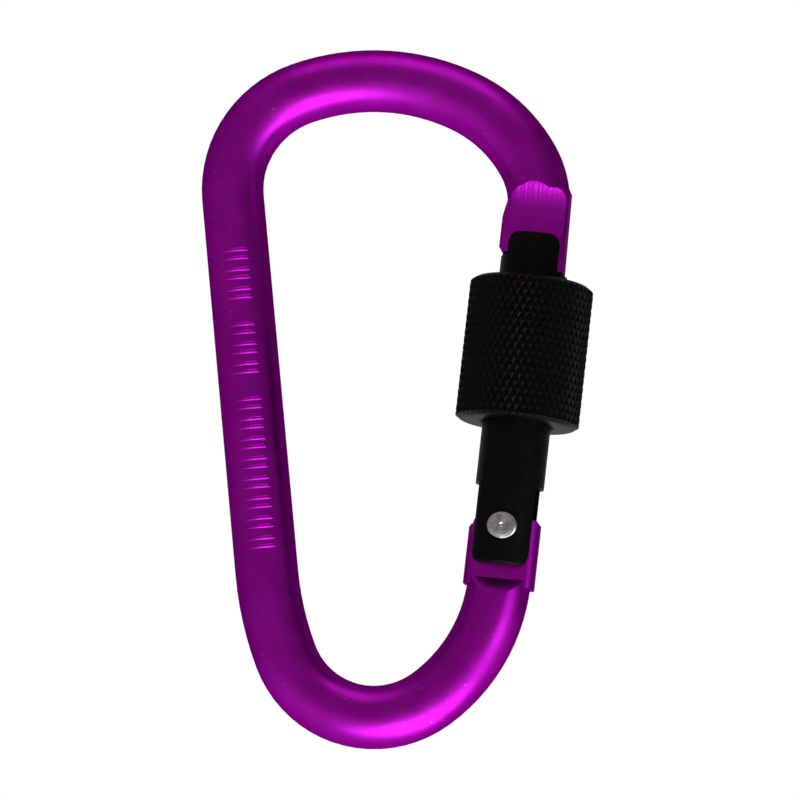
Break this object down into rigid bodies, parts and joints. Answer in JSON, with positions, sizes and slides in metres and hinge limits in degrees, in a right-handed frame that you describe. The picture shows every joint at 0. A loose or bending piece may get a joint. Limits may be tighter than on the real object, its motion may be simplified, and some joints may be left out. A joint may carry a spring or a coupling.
{
  "type": "locking carabiner",
  "caption": "Small D-shaped accessory carabiner with a sprung riveted gate and a knurled screw sleeve that locks the gate to the nose.",
  "frame": {"origin": "inner apex of the top bend, where a strap or hook bears", "axes": "+Z along the D's length towards the top bend, +X towards the gate, -Y the front face"},
  "size_m": [0.0443, 0.0138, 0.079],
  "materials": {
    "anodised_body": "satin purple anodised",
    "black_gate": "satin black anodised",
    "black_sleeve": "black anodised over a diamond knurl",
    "rivet_metal": "turned bare metal",
    "plunger_steel": "ground steel",
    "spring_steel": "drawn spring wire"
  },
  "bodies": {
    "frame": {"body": "anodised_body"},
    "gate_arm": {"gate": "black_gate", "hinge_rivet": "rivet_metal", "return_spring": "spring_steel"},
    "sleeve": {"lock_sleeve": "black_sleeve"},
    "plunger": {"spring_plunger": "plunger_steel"}
  },
  "joints": [
    {"name": "gate_hinge", "type": "hinge", "parent": "frame", "child": "gate_arm", "pos_m": [0.01547, 0, -0.04785], "axis": [0, -1, 0], "range_deg": [0, 40], "stiffness_Nm_per_rad": 0.05, "springref_deg": -20.05},
    {"name": "sleeve_travel", "type": "slide", "parent": "gate_arm", "child": "sleeve", "axis": [0.1149, 0, 0.9934], "range_m": [0, 0.005]},
    {"name": "plunger_slide", "type": "slide", "parent": "gate_arm", "child": "plunger", "axis": [0.1149, 0, 0.9934], "range_m": [0, 0.0008], "deforming": ["return_spring"]}
  ],
  "couplings": [
    {"joint": "plunger_slide", "follows": "gate_hinge", "m_per_rad": 0.000945}
  ]
}
